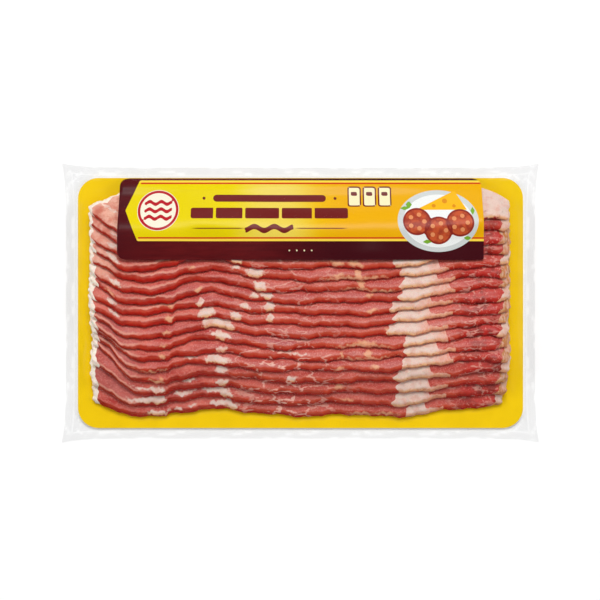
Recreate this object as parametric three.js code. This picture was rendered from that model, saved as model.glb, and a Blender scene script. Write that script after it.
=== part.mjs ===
// A sealed one-pound pack of raw bacon, lying on its back with the shown side up.
// From the bottom: the pouch's flat back film, a coated card, seventeen shingled slices, and a printed
// label that starts at the card's upper edge and bends over the last slices.
// Millimetres. +X runs along the slices, +Y towards the label, +Z up. The origin is under the middle.
import * as THREE from "three";

// The pouch: sides pulled in a little, so that its four corners stand out
const POUCH_HALF_LENGTH = 130.5;
const POUCH_HALF_WIDTH = 75.4;
const CORNER_FLARE = 2.5;
const FLARE_REACH = 10;
const FILM_STOCK = 0.4;
const SIDE_STEPS = 6;

// Touching pieces keep this clearance
const GAP = 0.3;

// The coated card under the slices
const CARD_LENGTH = 247.4;
const CARD_WIDTH = 139;
const CARD_CORNER = 11.5;
const CARD_STOCK = 0.6;
const CARD_BOTTOM_Z = FILM_STOCK + GAP;
const CARD_TOP_Z = CARD_BOTTOM_Z + CARD_STOCK;

// The shingled stack: slice 0 lies flat at the foot, and each later one lies a step further towards the label
const SLICES = 17;
const STEP = 6.23;
const FIRST_EDGE_Y = -62.2;
const LAYER = 3.5; // height that one slice adds, its clearance included
const STEPS_UNDER = 4.1; // a slice's width, in steps
const SLICE_WIDTH = STEPS_UNDER * STEP;
const HALF_LENGTH = 115.3;
const LEFT_OVERHANG = 1.2; // the left ends stand out by this much more
const FOOT_SHORT = 2.8; // the lowest slice ends short at the right by this much
const LENGTH_SPREAD = 1.2; // how unevenly the slices' ends lie
const END_ROUNDING = 3;
const CUT_LEAN = 1.7; // how far the cut edge leans back, so that it shows from above
const EDGE_WOBBLE = 0.55;
const LAST_STATION = 108; // the slices share their stations along X up to here
const STATIONS = 21;
const CROWDED = 0.2; // closest that two stations come where an end slants in past them
const SLICE_LIMIT_Y = 66.4; // no slice reaches past the card's upper edge
const SLANT_FROM_Y = { left: 49.5, right: 57.5 }; // from here up, the stack's ends slant inwards
const SLANT = { left: 1.1, right: 2.3 }; // by this much for each millimetre up
const SLICE_BASE_Z = CARD_TOP_Z + GAP;

// The wave that all the slices share along their length
const CREST_X = -50;
const CREST_REACH = 21;
const CREST_HEIGHT = 4.2;
const LEFT_LIFT_FROM_X = -100;
const LEFT_LIFT_SLOPE = 0.36;
const RIGHT_RISE_FROM_X = 38;
const RIGHT_RISE_REACH = 66;
const RIGHT_RISE = 5.6;
const FOOT_DIP_X = 53;
const FOOT_DIP_REACH = 12;
const FOOT_DIP = 2.4;

// The slices' ends are pressed flatter by the film
const END_THINNING = 0.22;

// The printed label
const LABEL_HALF_LENGTH = 99.8;
const LABEL_TOP_Y = 69.2;
const LABEL_LOW_Y = 23.6;
const LABEL_STOCK = 0.4;
const LABEL_CORNER = 4.6;
const LABEL_SHARP_CORNER = 0.8;
const CORNER_STEPS = 4;

const COLOURS = { film: 0xeef0f0, card: 0xedc416, lean: 0xb8463c, label: 0x5a1a20 };

const plastic = (color) => new THREE.MeshStandardMaterial({ color, roughness: 0.25, metalness: 0 });
const board = (color) => new THREE.MeshStandardMaterial({ color, roughness: 0.5, metalness: 0 });
const meat = (color) => new THREE.MeshStandardMaterial({ color, roughness: 0.45, metalness: 0 });

const bell = (x, middle, reach) => Math.exp(-(((x - middle) / reach) ** 2));
const smoothStep = (t) => {
  const c = Math.min(1, Math.max(0, t));
  return c * c * (3 - 2 * c);
};
const range = (count) => Array.from({ length: count }, (_, n) => n);

function named(name, geometry, material) {
  const mesh = new THREE.Mesh(geometry, material);
  mesh.name = name;
  return mesh;
}

// Closes an upper and a lower grid of points into one body, with a wall round the rim.
// Rows run towards -Y and columns towards +X.
function closedSheet(upper, lower) {
  const rows = upper.length;
  const columns = upper[0].length;
  const at = (level, r, c) => (level * rows + r) * columns + c;
  const faces = [];
  const quad = (a, b, c, d) => faces.push(a, b, c, a, c, d);
  for (let r = 0; r + 1 < rows; r++)
    for (let c = 0; c + 1 < columns; c++) {
      quad(at(0, r, c), at(0, r + 1, c), at(0, r + 1, c + 1), at(0, r, c + 1));
      quad(at(1, r + 1, c + 1), at(1, r + 1, c), at(1, r, c), at(1, r, c + 1));
    }
  const rim = [
    ...range(columns).map((c) => [0, c]),
    ...range(rows - 1).map((r) => [r + 1, columns - 1]),
    ...range(columns - 1).map((c) => [rows - 1, columns - 2 - c]),
    ...range(rows - 2).map((r) => [rows - 2 - r, 0]),
  ];
  rim.forEach(([r, c], n) => {
    const [nextRow, nextColumn] = rim[(n + 1) % rim.length];
    quad(at(0, r, c), at(0, nextRow, nextColumn), at(1, nextRow, nextColumn), at(1, r, c));
  });
  const geometry = new THREE.BufferGeometry();
  const points = [...upper.flat(), ...lower.flat()].flat();
  geometry.setAttribute("position", new THREE.Float32BufferAttribute(points, 3));
  geometry.setIndex(faces);
  geometry.computeVertexNormals();
  return geometry;
}

// How far one side of the pouch stands out, at a distance along it from the middle
function pouchSide(along, half, across) {
  const fromCorner = half + CORNER_FLARE - Math.abs(along);
  return across + CORNER_FLARE * Math.exp(-fromCorner / FLARE_REACH);
}

function pouchGeometry() {
  const stations = (half) =>
    range(2 * SIDE_STEPS).map(
      (n) => (half + CORNER_FLARE) * Math.sin((Math.PI / 2) * (n / SIDE_STEPS - 1)),
    );
  const long = stations(POUCH_HALF_LENGTH);
  const short = stations(POUCH_HALF_WIDTH);
  const outline = [
    ...long.map((x) => [x, -pouchSide(x, POUCH_HALF_LENGTH, POUCH_HALF_WIDTH)]),
    ...short.map((y) => [pouchSide(y, POUCH_HALF_WIDTH, POUCH_HALF_LENGTH), y]),
    ...long.map((x) => [-x, pouchSide(x, POUCH_HALF_LENGTH, POUCH_HALF_WIDTH)]),
    ...short.map((y) => [-pouchSide(y, POUCH_HALF_WIDTH, POUCH_HALF_LENGTH), -y]),
  ];
  const shape = new THREE.Shape(outline.map(([x, y]) => new THREE.Vector2(x, y)));
  return new THREE.ExtrudeGeometry(shape, { depth: FILM_STOCK, bevelEnabled: false });
}

function cardGeometry() {
  const x = CARD_LENGTH / 2 - CARD_CORNER;
  const y = CARD_WIDTH / 2 - CARD_CORNER;
  const shape = new THREE.Shape();
  shape.absarc(x, y, CARD_CORNER, 0, Math.PI / 2);
  shape.absarc(-x, y, CARD_CORNER, Math.PI / 2, Math.PI);
  shape.absarc(-x, -y, CARD_CORNER, Math.PI, 1.5 * Math.PI);
  shape.absarc(x, -y, CARD_CORNER, 1.5 * Math.PI, 2 * Math.PI);
  return new THREE.ExtrudeGeometry(shape, {
    depth: CARD_STOCK,
    bevelEnabled: false,
    curveSegments: 8,
  });
}

// The shared wave of the slices along X, as a shift towards +Y
function wave(x) {
  const crest = CREST_HEIGHT * bell(x, CREST_X, CREST_REACH);
  const leftLift = LEFT_LIFT_SLOPE * Math.max(0, LEFT_LIFT_FROM_X - x);
  const rightRise = RIGHT_RISE * smoothStep((x - RIGHT_RISE_FROM_X) / RIGHT_RISE_REACH);
  return crest + leftLift + rightRise;
}

// The line that slice i would reach towards +Y, which fixes the heights of all the slices alike
const reachLine = (i, x) => FIRST_EDGE_Y + SLICE_WIDTH + i * STEP + wave(x);

// Height that one slice adds at x
function layerAt(x) {
  const pastStations = Math.max(0, Math.abs(x) - LAST_STATION) / (HALF_LENGTH - LAST_STATION);
  return LAYER * (1 - END_THINNING * pastStations);
}

// Underside of slice i at x, where `under` slices lie below it. At the foot there are only i of them.
function undersideZ(i, x, under) {
  const layers = i < Math.floor(STEPS_UNDER) ? Math.min(i, under) : under;
  return SLICE_BASE_Z + layerAt(x) * layers;
}

// Each slice's lower edge wanders a little in its own way
function edgeWander(i, x) {
  const slow = Math.sin(x / 19 + 2.3 * i);
  const quick = Math.sin(x / 7.3 + 4.1 * i);
  const footDip = FOOT_DIP * bell(x, FOOT_DIP_X, FOOT_DIP_REACH) * Math.max(0, 1 - i / 3);
  return EDGE_WOBBLE * (0.7 * slow + 0.3 * quick) - footDip;
}

// A slice's end at a row, from -1 at one long edge to 1 at the other, drawn in at its corners and
// along the slant of the stack's upper corners
function endX(i, side, row, under) {
  const uneven = LENGTH_SPREAD * Math.sin(1.7 * i + 2.2 * side + 0.4 * i * i);
  const hand = side < 0 ? "left" : "right";
  const y = reachLine(i, side * LAST_STATION) - under * STEP;
  const slanted = SLANT[hand] * Math.max(0, y - SLANT_FROM_Y[hand]);
  const drawn = Math.max(slanted, END_ROUNDING * Math.abs(row) ** 3);
  const overhang = side < 0 ? LEFT_OVERHANG : 0;
  const short = side > 0 && i === 0 ? FOOT_SHORT : 0;
  return side * (HALF_LENGTH + overhang - short - drawn) + uneven * 0.5;
}

// A slice is two matching grids: rows lie where whole steps of earlier slices end, so that the
// slices nest with an even clearance.
function sliceGeometry(i) {
  const underAtTop = (x) => Math.max(0.15, (reachLine(i, x) - SLICE_LIMIT_Y) / STEP);
  const underAtEdge = (x) => STEPS_UNDER - edgeWander(i, x) / STEP;
  const xAt = (column, row) => {
    const under = row === 0 ? underAtTop(0) : row;
    const station = -LAST_STATION + (2 * LAST_STATION * (column - 1)) / (STATIONS - 1);
    const left = endX(i, -1, row / 2 - 1, under) + CROWDED * column;
    const right = endX(i, 1, row / 2 - 1, under) - CROWDED * (STATIONS + 1 - column);
    if (column === 0) return left;
    if (column === STATIONS + 1) return right;
    return Math.min(Math.max(station, left), right);
  };
  const grid = (lean, thickness) =>
    range(5).map((row) =>
      range(STATIONS + 2).map((column) => {
        const x = xAt(column, row);
        const under = [underAtTop(x) + lean / STEP, 1, 2, 3, underAtEdge(x) - lean / STEP][row];
        const y = reachLine(i, x) - under * STEP;
        return [x, y, undersideZ(i, x, under) + thickness(x)];
      }),
    );
  return closedSheet(grid(CUT_LEAN / 2, (x) => layerAt(x) - GAP), grid(0, () => 0));
}

// Highest bacon under the label at y, for a card that lies straight along X
function baconTop(y) {
  const heights = range(STATIONS).flatMap((n) => {
    const x = -LABEL_HALF_LENGTH + (2 * LABEL_HALF_LENGTH * n) / (STATIONS - 1);
    return range(SLICES).map((i) => {
      const under = (reachLine(i, x) - y) / STEP;
      const covered = under >= 0 && under <= STEPS_UNDER + 0.2 && y <= SLICE_LIMIT_Y;
      return covered ? undersideZ(i, x, under) + layerAt(x) - GAP : CARD_TOP_Z;
    });
  });
  return Math.max(...heights);
}

// The label's underside: the shortest taut line over the bacon, as points from the card's edge down
function labelProfile() {
  const samples = 46;
  const taut = [];
  for (const n of range(samples + 1)) {
    const y = LABEL_TOP_Y + ((LABEL_LOW_Y - LABEL_TOP_Y) * n) / samples;
    const next = new THREE.Vector2(-y, baconTop(y) + GAP);
    while (taut.length > 1) {
      const [a, b] = taut.slice(-2);
      if (b.clone().sub(a).cross(next.clone().sub(b)) < 0) break;
      taut.pop();
    }
    taut.push(next);
  }
  return (y) => {
    const n = Math.max(1, taut.findIndex((point) => point.x >= -y));
    const [a, b] = [taut[n - 1], taut[n]];
    return THREE.MathUtils.mapLinear(-y, a.x, b.x, a.y, b.y);
  };
}

// How far a rounded corner draws the label's end in, at a distance from the corner's edge
const drawnIn = (radius, distance) =>
  distance >= radius ? 0 : radius - Math.sqrt(radius ** 2 - (radius - distance) ** 2);

function labelGeometry() {
  const undersideAt = labelProfile();
  const cornerRows = range(CORNER_STEPS + 1).map(
    (n) => LABEL_CORNER * (1 - Math.cos((Math.PI / 2) * (n / CORNER_STEPS))),
  );
  const depth = LABEL_TOP_Y - LABEL_LOW_Y;
  const middle = depth - 2 * LABEL_CORNER;
  const middleRows = range(14).map((n) => LABEL_CORNER + (middle * (n + 1)) / 15);
  const rows = [...cornerRows, ...middleRows, ...cornerRows.map((d) => depth - d).reverse()];
  const grid = (lift) =>
    rows.map((fromTop) => {
      const y = LABEL_TOP_Y - fromTop;
      const top = drawnIn(LABEL_CORNER, fromTop);
      const low = drawnIn(LABEL_CORNER, depth - fromTop);
      const lowRight = drawnIn(LABEL_SHARP_CORNER, depth - fromTop);
      const z = undersideAt(y) + lift;
      return [
        [-LABEL_HALF_LENGTH + top + low, y, z],
        [LABEL_HALF_LENGTH - top - lowRight, y, z],
      ];
    });
  return closedSheet(grid(LABEL_STOCK), grid(0));
}

const pack = new THREE.Group();
pack.add(named("pouch", pouchGeometry(), plastic(COLOURS.film)));

const card = named("backing_card", cardGeometry(), board(COLOURS.card));
card.position.z = CARD_BOTTOM_Z;
pack.add(card);

const stack = new THREE.Group();
for (const i of range(SLICES)) {
  const number = String(i + 1).padStart(2, "0");
  stack.add(named("slice_" + number, sliceGeometry(i), meat(COLOURS.lean)));
}
pack.add(stack);

pack.add(named("front_label", labelGeometry(), board(COLOURS.label)));

export default pack;
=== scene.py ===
# %% [markdown]
# # A sealed pack of raw bacon
# The pack lies on its back. From the bottom up it holds a clear film, a yellow card, seventeen shingled
# slices and a printed label, and a second film drawn tight over all of them. The model is loaded first,
# so that every new surface is made in the same place and at the same size, in metres.

# %% Load the frame
import math

import bpy
import numpy as np
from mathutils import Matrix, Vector


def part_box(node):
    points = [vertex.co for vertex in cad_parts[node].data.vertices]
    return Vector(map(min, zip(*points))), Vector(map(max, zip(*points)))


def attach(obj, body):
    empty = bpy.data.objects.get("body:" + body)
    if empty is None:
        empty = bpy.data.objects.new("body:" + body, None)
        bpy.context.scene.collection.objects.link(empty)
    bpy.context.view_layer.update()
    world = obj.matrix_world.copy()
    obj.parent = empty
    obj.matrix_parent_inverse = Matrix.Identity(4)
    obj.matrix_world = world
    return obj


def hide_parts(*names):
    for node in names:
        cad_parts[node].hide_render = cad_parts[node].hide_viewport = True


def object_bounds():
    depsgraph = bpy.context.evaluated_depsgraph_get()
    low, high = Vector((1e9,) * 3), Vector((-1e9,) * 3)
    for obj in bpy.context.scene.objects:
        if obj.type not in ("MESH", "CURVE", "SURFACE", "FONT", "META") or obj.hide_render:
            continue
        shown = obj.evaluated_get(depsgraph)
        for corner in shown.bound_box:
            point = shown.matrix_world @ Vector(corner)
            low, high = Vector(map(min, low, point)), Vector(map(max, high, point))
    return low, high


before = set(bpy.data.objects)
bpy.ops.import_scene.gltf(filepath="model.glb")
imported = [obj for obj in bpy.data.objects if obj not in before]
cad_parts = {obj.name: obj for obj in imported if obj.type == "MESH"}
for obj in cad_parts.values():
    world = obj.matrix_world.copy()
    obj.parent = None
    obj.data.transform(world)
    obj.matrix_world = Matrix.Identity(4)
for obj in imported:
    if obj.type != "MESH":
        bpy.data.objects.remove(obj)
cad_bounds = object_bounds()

MM = 0.001
print("nodes", len(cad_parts))
print("box in mm", [round(v / MM, 1) for corner in cad_bounds for v in corner])


# %% [markdown]
# ## One way to close every sheet
# Film, card, paper and meat are all sheets: an upper side, a lower side and a narrow wall round the rim.
# Two matching grids of points give the sides, and the wall joins their outer lines. Working on whole
# arrays keeps this fast, and it always makes one closed body whose faces point outwards.

# %% Closed sheets from two grids
def closed_sheet(upper, lower):
    """Joins two grids of points, rows towards -Y and columns towards +X.
    A cell of the upper grid is wound anticlockwise as seen from above, one of the lower grid the other
    way, and each step round the rim gives one wall face between the two."""
    rows, columns = upper.shape[:2]
    index = np.arange(rows * columns).reshape(rows, columns)
    under = index + rows * columns
    top = [index[:-1, :-1], index[1:, :-1], index[1:, 1:], index[:-1, 1:]]
    base = [under[1:, :-1], under[:-1, :-1], under[:-1, 1:], under[1:, 1:]]
    rim = np.concatenate([index[0, :-1], index[:-1, -1], index[-1, :0:-1], index[:0:-1, 0]])
    after = np.roll(rim, -1)
    wall = [rim, after, after + rows * columns, rim + rows * columns]
    quads = np.concatenate([np.stack(part, axis=-1).reshape(-1, 4) for part in (top, base, wall)])
    points = np.concatenate([upper.reshape(-1, 3), lower.reshape(-1, 3)])
    return points, quads


def make_piece(name, points, quads, material, slot, *nodes):
    """Puts points in millimetres and four-sided faces into a mesh object that rides with the pack."""
    mesh = bpy.data.meshes.new(name)
    mesh.vertices.add(len(points))
    mesh.vertices.foreach_set("co", (points * MM).astype(np.float32).ravel())
    mesh.loops.add(quads.size)
    mesh.loops.foreach_set("vertex_index", quads.astype(np.int32).ravel())
    mesh.polygons.add(len(quads))
    mesh.polygons.foreach_set("loop_start", np.arange(0, quads.size, 4, dtype=np.int32))
    mesh.update(calc_edges=True)
    mesh.validate()
    mesh.shade_smooth()
    piece = bpy.data.objects.new(name, mesh)
    bpy.context.collection.objects.link(piece)
    mesh.materials.append(material)
    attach(piece, "root")
    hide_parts(*nodes)
    print(name, len(points), "points,", 2 * len(quads), "triangles")
    return piece


def store(piece, name, values):
    """Keeps one number for each point of a piece, for its material to read."""
    data = piece.data.attributes.new(name, "FLOAT", "POINT").data
    data.foreach_set("value", np.asarray(values, np.float32).ravel())


# %% [markdown]
# ## Uneven lines
# Nothing about bacon is straight. A few sine waves of unlike lengths, each with its own random start, add
# up to a line that wanders without repeating. The random starts come from a seed, so every run is the same.

# %% Wandering lines
def wander(seed, x, *waves):
    """Sum of sines: each wave is a length and a height, and its start is drawn from the seed."""
    draws = np.random.default_rng(seed)
    total = np.zeros_like(x, dtype=float)
    for length, height in waves:
        total += height * np.sin(2 * math.pi * (x / length + draws.random()))
    return total


def bell(x, middle, reach):
    """One smooth hump: the exponential of minus the squared distance from its middle."""
    return np.exp(-(((x - middle) / reach) ** 2))


def smooth_step(t):
    """Rises from 0 to 1 with level ends: three times the square less twice the cube."""
    c = np.clip(t, 0, 1)
    return c * c * (3 - 2 * c)


# %% [markdown]
# ## The shingled stack
# Slice 0 lies flat at the foot and each later one lies a step further up, on the back of the one before.
# So four slices lie under every point, and the height at a point is the number of slices under it times
# one layer. A slice may then be trimmed to any outline and still nest against its neighbours.

# %% Heights that all the slices share
SLICES = 17
STEP = 6.23
LAYER = 3.5
SLICE_WIDTH = 4.1 * STEP
FIRST_EDGE = -62.2
HALF_LENGTH = 115.3
FLAT_TO = 108.0
END_THINNING = 0.22
SLICE_BASE = 1.6
SLICE_LIMIT = 66.4
LEFT_OVERHANG = 1.2
# The shared wave: a crest and its width and height, where the left end starts to lift and by how much for
# each millimetre, and where the right end rises, over what length and how far
CREST = (-50.0, 21.0, 4.2)
LEFT_LIFT = (-100.0, 0.36)
RIGHT_RISE = (38.0, 66.0, 5.6)
# From this far up, the ends slant inwards by this much for each millimetre
SLANTS = {-1: (49.5, 1.1), 1: (57.5, 2.3)}
FOOT_SHORT = 2.8
# How softly one step of the stack turns into the next, and what that takes off the height
NEST_SOFTNESS = 0.05
NEST_LIFT = 0.0559


def wave(x):
    """Shift towards +Y that all slices share: a crest, a lift at the left end, a rise at the right."""
    crest = CREST[2] * bell(x, CREST[0], CREST[1])
    lift = LEFT_LIFT[1] * np.maximum(0, LEFT_LIFT[0] - x)
    rise = RIGHT_RISE[2] * smooth_step((x - RIGHT_RISE[0]) / RIGHT_RISE[1])
    return crest + lift + rise


def reach_line(i, x):
    """The line that slice i reaches towards +Y."""
    return FIRST_EDGE + SLICE_WIDTH + i * STEP + wave(x)


def layer_at(x):
    """Height that one slice adds: a layer, thinner past the last straight part."""
    past = np.clip((np.abs(x) - FLAT_TO) / (HALF_LENGTH - FLAT_TO), 0, 1)
    return LAYER * (1 - END_THINNING * past)


def underside(i, x, y):
    """Base height plus a layer for each slice below: the smooth lesser of i and the steps from the
    reach line."""
    steps = np.maximum(0, (reach_line(i, x) - y) / STEP)
    fewer = 0.5 * (i + steps - np.sqrt((i - steps) ** 2 + NEST_SOFTNESS)) + NEST_LIFT * (steps > 0)
    return SLICE_BASE + layer_at(x) * np.clip(fewer, 0, None)


# %% [markdown]
# ## Each slice's own outline
# The crest, the turned-up left ends and the rise at the right grow from the foot of the pack to its top,
# and each edge also wanders a little. These are trims only, so they don't change how the slices nest.

# %% Lower edges and ends
def edge_line(i, x):
    """Lower edge of slice i: the shared line plus its own crest, fanned left end, rise and wander."""
    up = i / (SLICES - 1)
    crest = (3.0 + 3.6 * up - CREST[2]) * bell(x, -47 - 11 * up, 15)
    crest -= 1.3 * bell(x, -80, 14) * (0.6 + 0.6 * up)
    rise = (4.2 + 3.4 * min(1, 1.6 * up) - RIGHT_RISE[2]) * smooth_step((x - 45) / 55)
    fan = 10.5 * math.exp(-(((i - 3.4) / 2.1) ** 2)) * smooth_step((-86 - x) / 22) ** 1.2
    dip = 2.2 * bell(x, 53, 13) * max(0.0, 1 - i / 3.5)
    lift = 0.45 * min(1, i / 2.5) * np.maximum(0, -97 - x) ** 0.8
    kink = -75 + 0.55 * i
    own = wander(40 + i, x, (73, 0.62), (31, 0.5), (14.7, 0.3), (7.1, 0.16), (3.9, 0.08))
    own += 1.5 * (smooth_step((x - kink) / 2.6) - smooth_step((x - kink + 9) / 20))
    return reach_line(i, x) - SLICE_WIDTH + crest + rise + fan + lift - dip + own


def end_line(i, side, s):
    """End of slice i at height s over its lower edge: drawn in at its lower corner and along the stack's
    slanted upper corner, and lumpy like cut rind."""
    own = wander(300 + 7 * i + side, np.array([0.0]), (9, 0.6))[0]
    lumps = wander(500 + 7 * i + side, s, (6.3, 0.45), (3.1, 0.2))
    corner = (1.5 if side < 0 else 2.6) * np.clip(1 - s / 5, 0, 1) ** 2
    y = edge_line(i, np.array([side * FLAT_TO]))[0] + s
    slant_from, slant = SLANTS[side]
    slanted = slant * np.maximum(0, y - slant_from)
    half = HALF_LENGTH - 0.6 + (LEFT_OVERHANG if side < 0 else -FOOT_SHORT * (i == 0))
    return side * (half + own + lumps - np.maximum(corner, slanted))


def upper_line(i, x):
    """Upper edge of slice i: just short of its reach line, and never past the card."""
    return np.minimum(reach_line(i, x) - 0.15 * STEP, SLICE_LIMIT)


print("edge of slice 0 at the middle", round(float(edge_line(0, np.array([0.0]))[0]), 2))


# %% [markdown]
# ## Where the fat is
# Neighbouring slices come from neighbouring places in one belly, so a band of fat is at nearly the same
# place in each. Each patch is an oval at a distance along the slice and over its lower edge. The mesh keeps
# how deep a point lies inside fat, in millimetres, and the material turns that into a crisp, ragged border.

# %% Fat patches by slice
# Each: along X, over the lower edge, half length, half height, in mm
WHITE_FAT = {
    0: [(-42.5, 3.6, 7.4, 1.6), (-38, 2.2, 3, 1.9), (-79, 2, 6.2, 1.4), (-67.4, 2.4, 1.4, 0.8),
        (-60.2, 4, 1.8, 0.6)],
    1: [(-46, 4.4, 7.6, 1.6), (-41, 2.4, 3.4, 1.8), (-78, 3.4, 4.2, 2.4), (-84, 3.4, 6.5, 1.7),
        (-91, 3.6, 5, 0.9), (-64, 4.4, 5, 1.2)],
    2: [(-43, 2.4, 3.4, 2), (-78.5, 3.2, 4.6, 1.8), (-86, 3.8, 7, 0.7), (-61, 5.2, 4, 0.8)],
    3: [(-43.5, 4.2, 3.2, 2.2), (-5, 3, 2.6, 1.4)],
    4: [(-45.5, 3.2, 7.4, 2.2), (-59.8, 3.6, 2.8, 1.1)],
    5: [(-42.8, 2, 2.6, 1.2), (-3, 3.6, 5, 0.6)],
    6: [(-43, 3.6, 5.8, 1.7), (-43.5, 2, 3, 1.8)],
    7: [(-49, 3.0, 4.8, 3.5), (-41.5, 2.6, 5.2, 3.3)],
    8: [(-51, 3.2, 4.8, 2.8), (-35.2, 2.6, 3.2, 2.2), (-16.6, 2.8, 1.9, 2.4), (-102, 4.5, 2.8, 0.9)],
    9: [(-54.6, 3, 1.8, 2.3), (-30, 3, 2.4, 1.6), (-17, 3, 2.7, 3), (-103.5, 3.6, 2.8, 1.5)],
    10: [(-25.5, 3, 2.3, 1.4), (-18.5, 3.2, 3.4, 2.4)],
    11: [(-22, 3, 3.6, 2.8), (-101, 3, 3.6, 1.5)],
    12: [(-25, 3, 5, 2.6), (-34.8, 3, 2.6, 1)],
    13: [(-34.8, 2.5, 3.1, 2), (-102.5, 3.4, 3.4, 1.4)],
    14: [(-36, 3, 4, 2.2), (-102.5, 3.6, 2.6, 1.2)],
    15: [(-101, 4, 2, 0.8)],
    16: [(-104, 10.5, 9, 0.7), (106, 11, 9, 8), (102, 2.6, 12, 1.8), (101, 20, 9, 6)],
}
TAN_FAT = {
    0: [(34, 1, 6, 0.9), (48, 1.6, 6, 0.8)],
    1: [(26, 2.6, 3, 0.6)],
    2: [(21, 3, 2.4, 1.4)],
    3: [(-78.5, 1.4, 3.2, 0.9), (-76, 3, 0.9, 1.6)],
    4: [(40.5, 3, 2, 1.2), (21, 1.6, 2.4, 0.8), (-81, 0.8, 6, 0.5)],
    5: [(37, 3.2, 2.2, 2.2), (38, 0.7, 12, 0.5), (22.8, 2.5, 0.7, 2), (-75.5, 2.4, 2, 1.3)],
    6: [(34, 1.1, 13, 0.9), (35, 2.2, 5.4, 1.4), (-74.5, 2.2, 1.5, 0.9)],
    7: [(48, 3, 1.5, 2), (-73, 2.6, 2.2, 0.8)],
    8: [(-71.5, 2.8, 1.9, 1.6)],
    9: [(39, 2.5, 2.5, 1), (-71, 3.4, 1.8, 1)],
    10: [(37.4, 3, 1.7, 1), (-55.6, 2.5, 1.9, 1.3), (-104, 2, 2, 1)],
    11: [(33.2, 3.4, 1.9, 2.3), (40, 0.5, 14, 0.5)],
    12: [(30, 0.9, 15, 0.8), (31.6, 3, 2.1, 2.8), (21, 2.4, 3.4, 0.9), (-59.3, 3, 1.6, 0.9)],
    13: [(20, 2, 4, 1.4), (30, 2.6, 4.2, 1.7)],
    14: [(34, 2, 8, 1)],
}
# The column of fat near the right: where it starts, where it turns into a tail, and where that ends
FAT_COLUMN = [
    (57.6, 69, 79), (50.2, 70.5, 80.4), (52.1, 70.4, 81), (50.9, 70.9, 81.9), (54.7, 81, 83.4),
    (56.2, 74.5, 84.5), (55.6, 79.5, 80.5), (46.6, 69.4, 80.4), (50.3, 70.3, 83), (48.4, 70.9, 83.3),
    (53.1, 81, 84.4), (54, 74.4, 84.4), (53.7, 75.6, 81.2), (50, 71, 83), (52, 72, 84), (49, 71, 82),
    (51, 74, 84),
]
LEFT_RIND = 3.2
RIGHT_RIND = 4.4
FAR_OUTSIDE = -9.0


def ovals(patches, x, s):
    """Depth inside the nearest oval: one less the distance scaled by its half sizes, times the smaller of
    them. The place is shifted by short waves first, so that no oval stays round."""
    depth = np.full(x.shape, FAR_OUTSIDE)
    bent_x = x + wander(31, s + 0.3 * x, (4.1, 0.4), (1.9, 0.2))
    bent_s = s + wander(32, x, (4.7, 0.35), (2.3, 0.18))
    for middle, height, half_length, half_height in patches:
        far = np.hypot((bent_x - middle) / half_length, (bent_s - height) / half_height)
        depth = np.maximum(depth, (1 - far) * min(half_length, half_height))
    return depth


def fat_column(i, x, s):
    """Depth inside the column: as high as the slice up to the turn, then down to a tail along the edge."""
    start, turn, end = FAT_COLUMN[i]
    tail = np.interp(x, [turn, end], [3.1, 1.9]) + 0.25 * wander(60 + i, x, (9, 1.0), (3.7, 0.5))
    high = tail + 9 * smooth_step((turn + 1 - x) / 3.4)
    blunt = x - start - 0.7 * np.abs(s - 2.4) - wander(80 + i, s, (5.1, 0.8))
    return 1.7 * np.minimum(np.minimum(blunt, end - x), 0.8 * (high - s))


print("patches", sum(map(len, WHITE_FAT.values())), "white,", sum(map(len, TAN_FAT.values())), "tan")


# %% [markdown]
# ## The surface of a slice
# Across the slice, points crowd at the lower edge, because that is what shows. There the top side leans
# over and down as a cut edge with a short round shoulder, and the underside turns up a little to meet it.

# %% One slice as two grids
ALONG = 392
# Share of the slice's width at each row of points, from its upper edge to its lower
ACROSS = np.array([
    1, 0.985, 0.96, 0.92, 0.86, 0.79, 0.72, 0.65, 0.585, 0.525, 0.47, 0.42, 0.375, 0.335, 0.3, 0.27, 0.243,
    0.218, 0.195, 0.174, 0.154, 0.135, 0.117, 0.1, 0.084, 0.069, 0.055, 0.042, 0.03, 0.02, 0.012, 0.005, 0,
])
SKIN = 0.12
ROLL = 2.7
TURN_UP = 0.7
END_ROUND = 2.4
BACK_ROUND = 2.6
# The rim is this share of the thickness up, and the top lies this far under the next slice
RIM_SHARE = 0.3
RIM_HEIGHT = 0.1
TOP_ROOM = 0.14


def oval_profile(distance, reach):
    """Height of a quarter oval, from 0 at the rim to 1 at its reach."""
    t = np.clip(distance / reach, 0, 1)
    return np.sqrt(1 - (1 - t) ** 2)


def cut_profile(distance, reach):
    """Height of a leaning cut edge, nearly straight from the rim up, with a round shoulder at its reach."""
    t = np.clip(distance / reach, 0, 1)
    return (1 - (1 - t) ** 1.7) ** 0.8


def slice_places(i):
    """Plan position of each grid point, and its height s over the lower edge."""
    t = np.linspace(0, 1, ALONG)[None, :]
    ends = np.array([-FLAT_TO, FLAT_TO])
    left_width, right_width = upper_line(i, ends) - edge_line(i, ends)
    left = end_line(i, -1, ACROSS[:, None] * left_width)
    right = end_line(i, 1, ACROSS[:, None] * right_width)
    x = left * (1 - t) + right * t
    low = edge_line(i, x)
    width = upper_line(i, x) - low
    s = ACROSS[:, None] * width
    return x, low + s, s, width


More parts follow.
